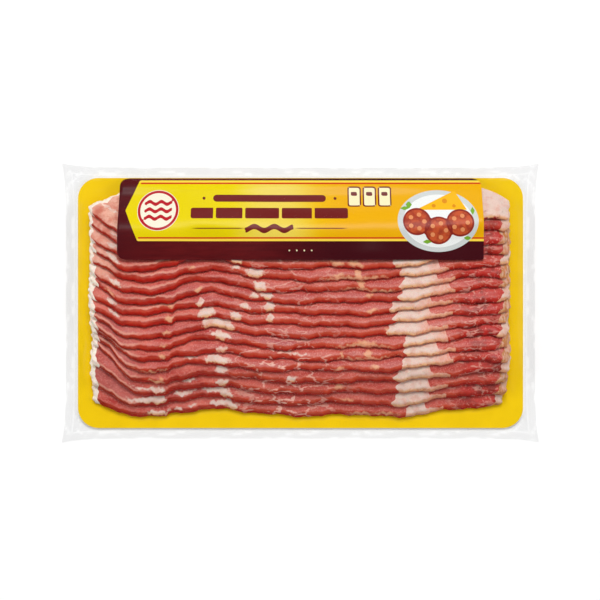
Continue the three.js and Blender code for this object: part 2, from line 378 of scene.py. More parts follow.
def slice_sides(i):
    """Upper and lower grid of slice i: the nested layer, closed to a narrow rim by the profiles."""
    x, y, s, width = slice_places(i)
    base = underside(i, x, y)
    thick = layer_at(x) - SKIN
    from_end = np.minimum(x - x[:, :1], x[:, -1:] - x)
    roll = ROLL + wander(700 + i, x, (23, 0.45), (9.3, 0.35), (4.7, 0.15))
    closing = cut_profile(s, roll) * oval_profile(from_end, END_ROUND) * oval_profile(width - s, BACK_ROUND)
    closing_low = oval_profile(s, TURN_UP) * oval_profile(from_end, 1.2) * oval_profile(width - s, 1.2)
    rim = base + RIM_SHARE * thick
    bumps = wander(900 + i, x + 0.7 * y, (5.3, 0.07), (3.1, 0.05))
    bumps += wander(950 + i, y - 0.4 * x, (4.3, 0.05))
    top = rim + RIM_HEIGHT + ((1 - RIM_SHARE) * thick - RIM_HEIGHT - TOP_ROOM + bumps) * closing
    bottom = rim - RIM_SHARE * thick * closing_low
    return np.stack([x, y, top], -1), np.stack([x, y, bottom], -1), s


# %% [markdown]
# ## Raw meat and fat
# Lean meat under film is painted with a fine speckled highlight for the film's sheen, and its cut edge is a
# deeper brick red, partly its own and partly painted shade.
# Fat is cream at the cut and white where it lies against the film. All of that is one material for the
# seventeen slices. It reads numbers kept on each point, such as the height over the edge, the depth inside
# white or tan fat, and how marbled, pale or warm the meat is there.

# %% Small helpers for materials
def node_material(name, roughness):
    """A new material with one Principled shader, whose constant sockets are set directly."""
    material = bpy.data.materials.new(name)
    material.use_nodes = True
    nodes = material.node_tree.nodes
    shader = nodes["Principled BSDF"]
    shader.inputs["Roughness"].default_value = roughness
    return material, material.node_tree, shader


def math_node(tree, operation, first, second=None, third=None):
    """One step of arithmetic on sockets or numbers."""
    node = tree.nodes.new("ShaderNodeMath")
    node.operation = operation
    for slot, value in enumerate((first, second, third)):
        if value is None:
            continue
        if isinstance(value, (int, float)):
            node.inputs[slot].default_value = value
        else:
            tree.links.new(value, node.inputs[slot])
    return node.outputs[0]


def times(tree, first, second):
    """The product of two sockets or numbers."""
    return math_node(tree, "MULTIPLY", first, second)


def ramp_between(tree, value, low, high):
    """Goes smoothly from 0 at low to 1 at high."""
    node = tree.nodes.new("ShaderNodeMapRange")
    node.interpolation_type = "SMOOTHSTEP"
    tree.links.new(value, node.inputs["Value"])
    node.inputs["From Min"].default_value = low
    node.inputs["From Max"].default_value = high
    return node.outputs["Result"]


def noise(tree, place, size_mm, detail=2.0, roughness=0.5, distortion=0.0):
    """Noise whose features are about size_mm across."""
    node = tree.nodes.new("ShaderNodeTexNoise")
    node.inputs["Scale"].default_value = 1 / (size_mm * MM)
    node.inputs["Detail"].default_value = detail
    node.inputs["Roughness"].default_value = roughness
    node.inputs["Distortion"].default_value = distortion
    tree.links.new(place, node.inputs["Vector"])
    return node.outputs["Fac"]


def branches(tree, place, size_mm):
    """Distance from a branching net of lines, in cells of about size_mm. The place is shaken by noise
    first, three times finer than the cells and half as strong as they are wide."""
    shake = tree.nodes.new("ShaderNodeTexNoise")
    shake.inputs["Scale"].default_value = 3 / (size_mm * MM)
    tree.links.new(place, shake.inputs["Vector"])
    shaken = tree.nodes.new("ShaderNodeVectorMath")
    shaken.operation = "MULTIPLY_ADD"
    tree.links.new(shake.outputs["Color"], shaken.inputs[0])
    shaken.inputs[1].default_value = (0.5 * size_mm * MM,) * 3
    tree.links.new(place, shaken.inputs[2])
    net = tree.nodes.new("ShaderNodeTexVoronoi")
    net.feature = "DISTANCE_TO_EDGE"
    net.inputs["Scale"].default_value = 1 / (size_mm * MM)
    tree.links.new(shaken.outputs["Vector"], net.inputs["Vector"])
    return net.outputs["Distance"]


def mixed(tree, amount, first, second):
    """Colour between first and second, which are sockets or red, green and blue from 0 to 255."""
    node = tree.nodes.new("ShaderNodeMix")
    node.data_type = "RGBA"
    for slot, value in ((6, first), (7, second)):
        if isinstance(value, tuple):
            node.inputs[slot].default_value = (*map(linear, value), 1)
        else:
            tree.links.new(value, node.inputs[slot])
    if isinstance(amount, (int, float)):
        node.inputs[0].default_value = amount
    else:
        tree.links.new(amount, node.inputs[0])
    return node.outputs[2]


def linear(level):
    """Light from a screen level of 0 to 255, by the usual display curve."""
    c = level / 255
    return c / 12.92 if c <= 0.04045 else ((c + 0.055) / 1.055) ** 2.4


def attribute(tree, name):
    """A number that the mesh keeps for each point."""
    node = tree.nodes.new("ShaderNodeAttribute")
    node.attribute_name = name
    return node.outputs["Fac"]


def object_place(tree, stretch=(1, 1, 1)):
    """Object coordinates, stretched so that grain can run along one direction."""
    place = tree.nodes.new("ShaderNodeTexCoord").outputs["Object"]
    if stretch == (1, 1, 1):
        return place
    mapping = tree.nodes.new("ShaderNodeMapping")
    mapping.inputs["Scale"].default_value = stretch
    tree.links.new(place, mapping.inputs["Vector"])
    return mapping.outputs["Vector"]


def bumped(tree, shader, height, strength, depth_mm):
    """Tilts the surface by the slope of a height, as deep as depth_mm."""
    node = tree.nodes.new("ShaderNodeBump")
    node.inputs["Strength"].default_value = strength
    node.inputs["Distance"].default_value = depth_mm * MM
    tree.links.new(height, node.inputs["Height"])
    tree.links.new(node.outputs["Normal"], shader.inputs["Normal"])


# %% The bacon material
FACE_LIGHT = (224, 118, 102)
FACE_DEEP = (183, 56, 46)
# The cut edge's reds: partly the meat's own deeper red, partly painted shade on the edge turned from the
# lamp
LIGHT_CUT_RED_AND_SHADE = (178, 46, 26)
DEEP_CUT_RED_AND_SHADE = (146, 22, 10)
# Painted seam shade: a saturated red for the cut's foot, where it meets the slice below
SEAM_SHADE = (182, 26, 12)
DEEP_RED = (184, 32, 30)
# Pink of the painted speckled highlight on the face, also used for the pale flecks in the deep red
HIGHLIGHT_AND_FLECK = (226, 148, 134)
THREAD = (240, 192, 174)
# Pink of the painted highlight along each slice's round shoulder
SHOULDER_HIGHLIGHT = (232, 168, 146)
PALE = (232, 176, 154)
PALE_DEEP = (206, 118, 98)
RIND_WHITE = (250, 238, 222)
FAT_WHITE = (226, 199, 186)
FAT_CREAM = (240, 178, 122)
FAT_TAN = (186, 120, 62)
FAT_PINK = (222, 132, 104)
FAT_MARK = (192, 110, 76)
FAT_BLUSH = (214, 144, 122)
FAT_SPECKLE = (218, 180, 168)
STREAK_TAN = (231, 172, 132)
FIBRE_FACE = (170, 58, 46)
FIBRE_CUT = (206, 84, 56)
WARM_FACE = (184, 76, 66)
WARM_CUT = (196, 76, 50)
MAUVE = (168, 80, 84)
DARKEST_RED = (116, 18, 22)


def lean_colour(tree, place, along, ragged, speckle):
    """Cloudy face under a painted speckled highlight; brick-red cut edge, partly its own red and partly
    painted shade, darkening downwards into painted seam shade; a painted highlight line along the shoulder;
    white threads; a deeper red with pale flecks near the right end."""
    over_edge = attribute(tree, "over_edge")
    vivid = attribute(tree, "vivid")
    clouds = ramp_between(tree, noise(tree, along, 9, 4, 0.6), 0.34, 0.66)
    fibres = ramp_between(tree, noise(tree, object_place(tree, (0.16, 1, 1)), 1.5, 3, 0.6), 0.3, 0.7)
    face = mixed(tree, clouds, FACE_DEEP, FACE_LIGHT)
    face = mixed(tree, times(tree, fibres, 0.3), face, FIBRE_FACE)
    face = mixed(tree, attribute(tree, "mauve"), face, MAUVE)
    warm = attribute(tree, "warm")
    face = mixed(tree, times(tree, warm, 0.4), face, WARM_FACE)
    # Painted highlight: a fine speckle of the film's sheen over the face
    face = mixed(tree, times(tree, speckle, 0.4), face, HIGHLIGHT_AND_FLECK)
    # The cut edge's colour: partly its own red, partly painted shade
    cut = mixed(tree, clouds, DEEP_CUT_RED_AND_SHADE, LIGHT_CUT_RED_AND_SHADE)
    cut = mixed(tree, times(tree, fibres, 0.4), cut, FIBRE_CUT)
    cut = mixed(tree, times(tree, warm, 0.55), cut, WARM_CUT)
    lowered = math_node(tree, "MULTIPLY_ADD", ragged, -1.8, over_edge)
    # Painted shade: this shift moves the shaded cut band and its seam shade up the face, and down where it
    # is negative
    lowered = math_node(tree, "SUBTRACT", lowered, attribute(tree, "wide_cut_shade"))
    # Painted shade: towards its foot the cut goes to the seam shade colour
    cut = mixed(tree, ramp_between(tree, lowered, 1.7, 0.2), cut, SEAM_SHADE)
    lean = mixed(tree, ramp_between(tree, lowered, 3.3, 2.3), face, cut)
    # Painted highlight: a pale line along the shoulder between face and cut edge
    line = times(tree, ramp_between(tree, lowered, 2.2, 3.0), ramp_between(tree, lowered, 4.4, 3.2))
    lean = mixed(tree, times(tree, line, attribute(tree, "shoulder_highlight")), lean, SHOULDER_HIGHLIGHT)
    pale = times(tree, attribute(tree, "pale"), ramp_between(tree, lowered, 1.6, 2.5))
    patches = ramp_between(tree, noise(tree, place, 8, 4, 0.65), 0.36, 0.62)
    lean = mixed(tree, pale, lean, mixed(tree, patches, PALE_DEEP, PALE))
    pools = ramp_between(tree, noise(tree, place, 7, 3, 0.6), 0.45, 0.62)
    red = mixed(tree, pools, DEEP_RED, DARKEST_RED)
    lean = mixed(tree, times(tree, vivid, 0.68), lean, red)
    gate = ramp_between(tree, noise(tree, place, 6, 1), 0.44, 0.52)
    threads = times(tree, ramp_between(tree, branches(tree, along, 6.5), 0.07, 0.02), gate)
    lean = mixed(tree, times(tree, threads, attribute(tree, "marbled")), lean, THREAD)
    flecks = ramp_between(tree, noise(tree, place, 1.5, 2), 0.6, 0.68)
    return mixed(tree, times(tree, flecks, times(tree, vivid, 0.7)), lean, HIGHLIGHT_AND_FLECK)


def fat_colour(tree, place, speckle):
    """White where it lies against film, cream and nicked down the cut edge, tan rind at the right."""
    cream = math_node(tree, "MULTIPLY_ADD", attribute(tree, "rind"), -0.75, 1.0)
    over_edge = attribute(tree, "over_edge")
    low_cut = times(tree, ramp_between(tree, over_edge, 2.8, 0.9), cream)
    fat = mixed(tree, times(tree, low_cut, 0.9), FAT_WHITE, FAT_CREAM)
    fat = mixed(tree, times(tree, attribute(tree, "rind"), 0.9), fat, RIND_WHITE)
    streaks = ramp_between(tree, noise(tree, object_place(tree, (1, 0.3, 1)), 1.3, 2), 0.4, 0.6)
    brown = math_node(tree, "MULTIPLY_ADD", streaks, 0.5, 0.5)
    fat = mixed(tree, times(tree, attribute(tree, "browned"), brown), fat, FAT_TAN)
    mark = times(tree, ramp_between(tree, over_edge, 0.9, 0), cream)
    fat = mixed(tree, mark, fat, FAT_MARK)
    nicks = ramp_between(tree, noise(tree, place, 2.2, 2), 0.55, 0.66)
    nicks = times(tree, nicks, math_node(tree, "MULTIPLY_ADD", low_cut, 0.55, 0.1))
    fat = mixed(tree, nicks, fat, FAT_MARK)
    pink = math_node(tree, "MULTIPLY_ADD", streaks, 0.3, 0.4)
    fat = mixed(tree, times(tree, attribute(tree, "tail"), pink), fat, FAT_PINK)
    blush = ramp_between(tree, noise(tree, place, 4.5, 3, 0.6), 0.46, 0.68)
    blush = times(tree, blush, times(tree, cream, 0.45))
    fat = mixed(tree, blush, fat, FAT_BLUSH)
    return mixed(tree, times(tree, speckle, 0.3), fat, FAT_SPECKLE)


def bacon_material():
    """Lean, tan fat and white fat, each cut off where its depth, roughened by noise, passes zero."""
    material, tree, shader = node_material("bacon", 0.5)
    place = object_place(tree)
    along = object_place(tree, (0.45, 1, 1))
    ragged = math_node(tree, "SUBTRACT", noise(tree, place, 2.1, 3, 0.65), 0.5)
    # Fine speckle: a painted highlight on the lean, a faint pink speckle in the fat
    speckle = ramp_between(tree, noise(tree, place, 0.8, 1), 0.5, 0.7)
    lean = lean_colour(tree, place, along, ragged, speckle)
    tan_depth = math_node(tree, "MULTIPLY_ADD", ragged, 2.8, attribute(tree, "tan_depth"))
    in_tan = times(tree, ramp_between(tree, tan_depth, -0.6, 0.8), 0.8)
    white_depth = math_node(tree, "MULTIPLY_ADD", ragged, 3.0, attribute(tree, "white_depth"))
    in_white = ramp_between(tree, white_depth, -0.45, 0.5)
    colour = mixed(tree, in_tan, lean, STREAK_TAN)
    colour = mixed(tree, in_white, colour, fat_colour(tree, place, speckle))
    tree.links.new(colour, shader.inputs["Base Color"])
    ripple = times(tree, noise(tree, along, 2.6, 2), 1.5)
    bumped(tree, shader, math_node(tree, "ADD", noise(tree, place, 0.8, 1), ripple), 0.55, 0.25)
    shader.inputs["Specular IOR Level"].default_value = 0.14
    shader.inputs["Subsurface Weight"].default_value = 0.2
    shader.inputs["Subsurface Radius"].default_value = (1.0, 0.25, 0.15)
    shader.inputs["Subsurface Scale"].default_value = 1.2 * MM
    return material


bacon = bacon_material()
print("bacon nodes", len(bacon.node_tree.nodes))


# %% [markdown]
# ## Seventeen slices, one recipe
# Each slice is the same two grids with its own number. Its points keep what the material needs to know,
# worked out from how far from an end they lie, how far over the edge, and in which part of the stack.

# %% Make the seventeen slices
def make_slice(i):
    """One slice, and for each of its points the numbers that the bacon material reads."""
    upper, lower, s = slice_sides(i)
    points, quads = closed_sheet(upper, lower)
    node = f"slice_{i + 1:02d}"
    piece = make_piece("bacon_" + node, points, quads, bacon, "bacon", node)
    x, y = upper[..., 0], upper[..., 1]
    from_left = x - x[:, :1]
    from_right = x[:, -1:] - x
    left = 3.5 * (LEFT_RIND - 1.4 * (i > 11) + wander(120 + i, y, (13, 0.5), (5, 0.3)) - from_left)
    right = 3.5 * (RIGHT_RIND + wander(140 + i, y, (11, 0.6), (4, 0.3)) - from_right)
    white = np.maximum.reduce([ovals(WHITE_FAT.get(i, []), x, s), fat_column(i, x, s), left, right])
    tan = ovals(TAN_FAT.get(i, []), x, s)
    marbled = bell(x, -8, 28) * (0.75 if i < 6 else 0.4) + 0.4 * bell(x, 95, 16)
    vivid = smooth_step((x - 84) / 8) * (0.75 + 0.25 * math.sin(2.4 * i))
    browned = smooth_step((x - 104) / 5) * (0.25 + 0.75 * (i % 3 != 0)) * (i < SLICES - 1)
    pale = smooth_step((-84 - x) / 14) * (1.0 if i == SLICES - 1 else 0.12 * (i > 8))
    far_left = smooth_step((-97 - x) / 7) * smooth_step((i - 9.5) / 2)
    upper_left = bell(x, -79, 15) * smooth_step((i - 7) / 2)
    lower_left = smooth_step((-84 - x) / 10) * (1 <= i <= 7)
    pale = np.maximum.reduce([pale, 0.85 * far_left, 0.12 * lower_left])
    mauve = 0.08 + 0.1 * (1 + math.sin(2.1 * i)) + 0.3 * lower_left + 0.7 * (i == 6) * bell(x, -8, 26)
    rind = smooth_step((5.5 - from_left) / 1.5)
    start, turn, _ = FAT_COLUMN[i]
    tail = smooth_step((x - min(turn - 1, start + 15)) / 8) * smooth_step((100 - x) / 4)
    warm = smooth_step((x + 48) / 22) * (1 - 0.6 * vivid)
    fields = {
        "over_edge": s,
        "white_depth": white,
        "tan_depth": tan,
        "marbled": marbled,
        "vivid": vivid,
        "browned": browned,
        "pale": pale,
        "rind": rind,
        # Painted shade: widens the shaded cut band on the upper left, narrows it on the lower left and far
        # left
        "wide_cut_shade": 0.9 * (upper_left - lower_left) - 0.6 * far_left,
        # Painted highlight along the shoulder, strongest on the upper left and lower left
        "shoulder_highlight": 0.12 + 0.5 * upper_left + 0.55 * lower_left,
        "mauve": mauve,
        "tail": tail,
        "warm": warm,
    }
    for field, values in fields.items():
        store(piece, field, np.concatenate([values.ravel(), values.ravel()]))


for number in range(SLICES):
    make_slice(number)


# %% [markdown]
# ## The yellow card
# The card's own solid is already right, so it stays and only gets a finish: coated board, even in colour,
# with the faintest mottling and a satin sheen.

# %% Coated card
CARD_YELLOWS = ((244, 202, 0), (250, 208, 2))


def card_material():
    """Two near yellows in wide soft clouds, under a satin sheen."""
    material, tree, shader = node_material("coated_card", 0.42)
    shader.inputs["Specular IOR Level"].default_value = 0.2
    place = object_place(tree)
    mottle = ramp_between(tree, noise(tree, place, 14, 2), 0.3, 0.7)
    tree.links.new(mixed(tree, mottle, *CARD_YELLOWS), shader.inputs["Base Color"])
    bumped(tree, shader, noise(tree, place, 1.4, 2), 0.15, 0.05)
    return material


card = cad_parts["backing_card"]
card.data.materials.clear()
card.data.materials.append(card_material())


# %% [markdown]
# ## The printed label
# The label starts at the card's upper edge and is bent by the tight film over the last slices. Its solid is
# straight along the pack, so one line of heights, read off that solid, gives its main bend.

# %% The label's bend, read off its solid
label_low, label_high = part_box("front_label")
LABEL_HALF = 99.8
LABEL_STOCK = 0.25
ROUNDED_OVER = 3.0
LABEL_SINK = 0.15
node_points = np.array([v.co[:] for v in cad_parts["front_label"].data.vertices]) / MM
heights_y = np.unique(np.round(node_points[:, 1], 2))
heights_z = np.array([node_points[np.abs(node_points[:, 1] - y) < 0.02, 2].min() for y in heights_y])


def label_bend(y):
    """Underside of the label: its solid's lowest point at that distance up the pack, rounded over 3 mm,
    and over less towards its upper edge, which lies on the card."""
    reach = np.clip(heights_y[-1] - y, 0, ROUNDED_OVER)
    nearby = [np.interp(y + shift * reach, heights_y, heights_z) for shift in (-1, -0.5, 0, 0.5, 1)]
    return sum(nearby) / len(nearby) - LABEL_SINK


print("label solid in mm", [round(v / MM, 1) for v in (*label_low, *label_high)])


# %% [markdown]
# ## The label sinks between the slices
# The vacuum presses the paper into the hollows under it, but paper is stiff and bridges the narrow ones. So
# the room under it is measured on a coarse grid. The least room near each place, smoothed, is how far the
# label comes down there.

# %% How far the label is pressed down
CARD_TOP = 1.3
DEEPEST_DIP = 2.4
LEAST_DIP = -0.8
LABEL_ROOM = 0.25
DIP_X = np.arange(-102, 103, 2.0)
DIP_Y = np.arange(21, 73, 1.5)


def stack_height(x, y):
    """Height of the highest slice over each point, or of the card where no slice lies."""
    top = np.full(x.shape, CARD_TOP)
    for i in range(SLICES):
        s = y - edge_line(i, x)
        width = upper_line(i, x) - edge_line(i, x)
        from_end = np.minimum(x - end_line(i, -1, s), end_line(i, 1, s) - x)
        inside = (s > 0) & (s < width) & (from_end > 0)
        thick = layer_at(x) - SKIN
        closing = cut_profile(s, ROLL) * oval_profile(from_end, END_ROUND)
        closing *= oval_profile(width - s, BACK_ROUND)
        height = underside(i, x, y) + RIM_SHARE * thick + ((1 - RIM_SHARE) * thick - 0.05) * closing
        top = np.where(inside, np.maximum(top, height), top)
    return top


def gathered(grid, reach, pick):
    """Least or mean value within so many grid steps each way."""
    padded = np.pad(grid, reach, mode="edge")
    rows, columns = grid.shape
    shifts = range(2 * reach + 1)
    return pick([padded[a:a + rows, b:b + columns] for a in shifts for b in shifts], axis=0)


def dips_on_grid():
    """Room under the label on a coarse grid: the least within three steps, then the mean within two."""
    x, y = np.meshgrid(DIP_X, DIP_Y)
    room = np.clip(label_bend(y) - stack_height(x, y) - LABEL_ROOM, LEAST_DIP, DEEPEST_DIP)
    return gathered(gathered(room, 3, np.min), 2, np.mean)


label_dips = dips_on_grid()


def label_dip(x, y):
    """Reads the grid of dips in between its points, by a weighted mean of the four round each place."""
    across = np.clip((x - DIP_X[0]) / (DIP_X[1] - DIP_X[0]), 0, len(DIP_X) - 1.001)
    up = np.clip((y - DIP_Y[0]) / (DIP_Y[1] - DIP_Y[0]), 0, len(DIP_Y) - 1.001)
    column, row = across.astype(int), up.astype(int)
    a, b = across - column, up - row
    low = label_dips[row, column] * (1 - a) + label_dips[row, column + 1] * a
    high = label_dips[row + 1, column] * (1 - a) + label_dips[row + 1, column + 1] * a
    return low * (1 - b) + high * b


print("deepest dip of the label", round(float(label_dips.max()), 2), "mm")


# %% [markdown]
# ## Shapes to print
# The print is kept as depths inside plain shapes, one number for each ink and point. The material cuts each
# of them off sharply, so the print stays crisp on a modest mesh. A disc's depth is its radius less the
# distance to its centre, and a box's is the least distance to its sides. A band along a curve is its half
# width less the distance to the curve. A union is the greater of two depths, and an overlap the lesser.

# %% Depth functions for print
def disc(x, y, cx, cy, r):
    """The radius less the distance to the centre."""
    return r - np.hypot(x - cx, y - cy)


def box(x, y, cx, cy, half_x, half_y, rounding=0.0):
    """Distance to the nearest side, below zero outside, with round corners."""
    dx = np.abs(x - cx) - half_x + rounding
    dy = np.abs(y - cy) - half_y + rounding
    outside = np.hypot(np.maximum(dx, 0), np.maximum(dy, 0))
    return rounding - outside - np.minimum(np.maximum(dx, dy), 0)


def lozenge(x, y, cx, cy, half_x, half_y):
    """One less the two distances as shares of the half sizes, times the smaller half size."""
    return (1 - np.abs(x - cx) / half_x - np.abs(y - cy) / half_y) * min(half_x, half_y)


def strip(x, y, cx, cy, half_length, half_width, ripple):
    """A wavy band: half its width less the distance to a sine line."""
    across = half_width - np.abs(y - cy - ripple * np.sin(7.5 * (x - cx) / half_length))
    return np.minimum(across, half_length - np.abs(x - cx))


def ring(depth, half_width):
    """A line that runs round a shape where its depth is zero."""
    return half_width - np.abs(depth)


# %% The label's inks
BANNER_TOP = 67.9
BANNER_LOW = 33.7
BANNER_TIP = -96.0
BANNER_MIDDLE = (BANNER_TOP + BANNER_LOW) / 2
BADGE_X = -78.0
BARS_X = -17.0
TOP_ROW = 57.6
MIDDLE_ROW = 49.2
LOW_ROW = 40.6
PLATE = (75.0, 45.0, 22.0)
TOMATOES = [(63.5, 44.5), (75.2, 39.6), (87, 43.8)]
CHEESE_HOLES = [(73, 53.3, 1.1), (79, 56, 1.4), (84, 53.2, 1)]
LEAVES = [
    (57, 52, 2.6, 1.2), (59.4, 54, 1.8, 2.2), (69, 33.4, 2.8, 1.2), (94, 50.4, 1.2, 2.4),
    (91, 35.4, 2.4, 1.3),
]


def any_of(shapes):
    """The union of many shapes: the greatest of their depths."""
    return np.maximum.reduce(list(shapes))


def label_inks(x, y):
    """Depth of each point inside every ink, in millimetres."""
    half = (BANNER_TOP - BANNER_LOW) / 2
    from_middle = np.abs(y - BANNER_MIDDLE)
    from_tip = x - BANNER_TIP - 0.42 * from_middle
    banner = np.minimum(half - from_middle, from_tip)
    stripes = np.minimum(0.48 - np.abs(from_middle - half + 1.7), from_tip - 1)
    edge_glow = np.minimum(from_middle - half + 1.3, banner)
    px, py, pr = PLATE
    plate = np.minimum(disc(x, py + (y - py) * 1.28, px, py, pr), y - BANNER_LOW + 9.4)
    badge = disc(x, y, BADGE_X, BANNER_MIDDLE, 11.5)
    waves = any_of(strip(x, y, BADGE_X, BANNER_MIDDLE + up, 7.6, 1.0, 0.8) for up in (-4.2, 0, 4.2))
    bars = any_of([
        box(x, y, BARS_X, TOP_ROW, 31, 2.0, 2.0),
        box(x, y, BARS_X, MIDDLE_ROW, 43, 3.0, 1.0),
        strip(x, y, BARS_X, LOW_ROW, 13, 1.5, 1.1),
    ])
    gaps = any_of(0.75 - np.abs(x - BARS_X - shift) for shift in (-30, -14, 6, 24))
    bars = np.minimum(bars, np.where((y > 45) & (y < 53.4), -gaps, 9))
    level = 0.38 - np.abs(y - LOW_ROW)
    rules = any_of(np.minimum(0.5 * (1 - np.abs(x - middle) / 14), level) for middle in (-45, 11))
    dots = any_of(disc(x, y, middle, TOP_ROW, 0.9) for middle in (-53, 19))
    tabs = [(29.5 + 8.4 * n, 58.6) for n in range(3)]
    cream = any_of(box(x, y, cx, cy, 3.5, 5.6, 1.4) for cx, cy in tabs)
    tab_marks = any_of(box(x, y, cx, cy + 1.6, 1.7, 1.1, 0.4) for cx, cy in tabs)
    tab_marks = np.maximum(tab_marks, ring(cream - 0.2, 0.42))
    small = any_of(box(x, y, cx, 28.6, 0.55, 0.55, 0.5) for cx in (-6, -2, 2, 6))
    tomatoes = [disc(x, y, cx, cy, 7.6) for cx, cy in TOMATOES]
    turns = [2 * math.pi * n / 5 for n in range(5)]
    seed_places = [(cx + 4 * math.cos(a), cy + 4 * math.sin(a)) for cx, cy in TOMATOES for a in turns]
    up = y - 51
    cheese = np.minimum.reduce([up, 0.45 * (x - 63) - 0.89 * up, 0.86 * (91 - x) - 0.51 * up])
    holes = any_of(disc(x, y, *hole) for hole in CHEESE_HOLES)
    return {
        "ink_banner": banner,
        "ink_stripes": stripes,
        "ink_glow": edge_glow,
        "ink_badge": badge,
        "ink_dark": any_of([bars, rules, dots, tab_marks]),
        "ink_red": np.maximum(ring(badge - 1.0, 0.7), waves),
        "ink_cream": np.maximum(cream, small),
        "ink_plate": plate,
        "ink_plate_rim": plate - 3.2,
        "ink_cheese": cheese,
        "ink_holes": np.minimum(holes, cheese),
        "ink_leaves": any_of(lozenge(x, y, *leaf) for leaf in LEAVES),
        "ink_tomato": any_of(tomatoes),
        "ink_seeds": any_of(disc(x, y, *place, 1.25) for place in seed_places),
        "ink_skin": any_of(ring(one - 0.5, 0.5) for one in tomatoes),
    }


# %% [markdown]
# ## Inks on paper
# The paper is printed all over in a maroon with a faint grain along it, and the banner fades from yellow
# through a pale middle to gold. Each further ink is laid on top where its depth passes zero.

# %% The label's material
MAROON = (84, 14, 18)
MAROON_GRAIN = (98, 19, 22)
MAROON_DARK = (64, 7, 17)
BANNER_YELLOW = (230, 208, 1)
BANNER_GOLD = (234, 172, 1)
BANNER_PALE = (235, 209, 92)
FLESH_DARK = (160, 58, 38)
FLESH_LIGHT = (198, 84, 46)


def label_material():
    """The ground colour, then each ink in turn wherever the depth inside its shape passes zero."""
    material, tree, shader = node_material("printed_label", 0.55)
    shader.inputs["Specular IOR Level"].default_value = 0.05
    place = object_place(tree)
    soft = noise(tree, object_place(tree, (0.12, 1, 1)), 2.2, 3)
    ground = mixed(tree, ramp_between(tree, soft, 0.3, 0.7), MAROON, MAROON_GRAIN)
    wide = tree.nodes.new("ShaderNodeSeparateXYZ")
    tree.links.new(place, wide.inputs[0])
    from_left = math_node(tree, "ABSOLUTE", math_node(tree, "ADD", wide.outputs["X"], 0.052))
    ground = mixed(tree, ramp_between(tree, from_left, 0.018, 0.075), ground, MAROON_DARK)
    to_right = ramp_between(tree, wide.outputs["X"], -0.025, 0.028)
    field = mixed(tree, to_right, BANNER_YELLOW, BANNER_GOLD)
    from_middle = math_node(tree, "ABSOLUTE", math_node(tree, "ADD", wide.outputs["X"], 0.014))
    glow = times(tree, ramp_between(tree, from_middle, 0.026, 0.004), 0.8)
    field = mixed(tree, glow, field, BANNER_PALE)
    ripe = ramp_between(tree, noise(tree, place, 4, 3, 0.6), 0.38, 0.62)
    flesh = mixed(tree, ripe, FLESH_DARK, FLESH_LIGHT)
    layers = [
        ("ink_banner", field),
        ("ink_glow", (250, 214, 70)),
        ("ink_stripes", (205, 62, 20)),
        ("ink_cream", (246, 236, 190)),
        ("ink_badge", (244, 236, 214)),
        ("ink_dark", (112, 28, 26)),
        ("ink_red", (184, 30, 42)),
        ("ink_plate", (206, 210, 208)),
        ("ink_plate_rim", (238, 240, 238)),
        ("ink_cheese", (246, 184, 18)),
        ("ink_holes", (222, 140, 14)),
        ("ink_tomato", flesh),
        ("ink_skin", (140, 40, 30)),
        ("ink_seeds", (224, 142, 92)),
        ("ink_leaves", (120, 170, 50)),
    ]
    colour = ground
    for name, ink in layers:
        colour = mixed(tree, ramp_between(tree, attribute(tree, name), -0.06, 0.06), colour, ink)
    tree.links.new(colour, shader.inputs["Base Color"])
    bumped(tree, shader, noise(tree, place, 0.9, 2), 0.12, 0.04)
    return material


# %% Make the label
LABEL_TOP = 69.2
LABEL_LOW = 23.6
LABEL_CORNER = 4.6
LABEL_SHARP = 0.8
LABEL_ROWS = 66
LABEL_COLUMNS = 240


def drawn_in(radius, distance):
    """How far a rounded corner draws the end in: the radius less the half chord of its circle."""
    d = np.clip(distance, 0, radius)
    return radius - np.sqrt(np.maximum(0, radius**2 - (radius - d) ** 2))


def make_label():
    """A grid from the upper edge to the lower, its rows a little closer at both edges and the middle."""
    t = np.linspace(0, 1, LABEL_ROWS)
    t = t - 0.06 * np.sin(4 * math.pi * t) / (2 * math.pi)
    y = (LABEL_TOP + (LABEL_LOW - LABEL_TOP) * t)[:, None]
    left = -LABEL_HALF + drawn_in(LABEL_CORNER, LABEL_TOP - y) + drawn_in(LABEL_CORNER, y - LABEL_LOW)
    right = LABEL_HALF - drawn_in(LABEL_CORNER, LABEL_TOP - y) - drawn_in(LABEL_SHARP, y - LABEL_LOW)
    u = np.linspace(0, 1, LABEL_COLUMNS)[None, :]
    x = left * (1 - u) + right * u
    y = np.broadcast_to(y, x.shape)
    under = label_bend(y) - label_dip(x, y)
    upper = np.stack([x, y, under + LABEL_STOCK], -1)
    lower = np.stack([x, y, under], -1)
    points, quads = closed_sheet(upper, lower)
    piece = make_piece("printed_label", points, quads, label_material(), "label", "front_label")
    piece.data.set_sharp_from_angle(angle=math.radians(60))
    for name, depth in label_inks(x, y).items():
        store(piece, name, np.concatenate([depth.ravel(), np.full(depth.size, -1.0)]))


make_label()


# %% [markdown]
# ## Film drawn tight
# A vacuum pulls the upper film on to whatever lies under it. That is a height over each point of a grid: it
# starts on the contents, and then each point is moved again and again to the mean of its neighbours, less a
# small pull, but never below the contents. What is left is a taut skin that bridges the narrow gaps and
# hangs as a short tent from the stack to the card.

# %% The film's outline and the height of what it covers
POUCH_HALF = (130.5, 75.4)
FLARE = (2.5, 10.0)
FILM_TOP = 0.4
CARD_HALF = (123.7, 69.5)
CARD_CORNER = 11.5
CELLS = (206, 124)
CLING = 0.2


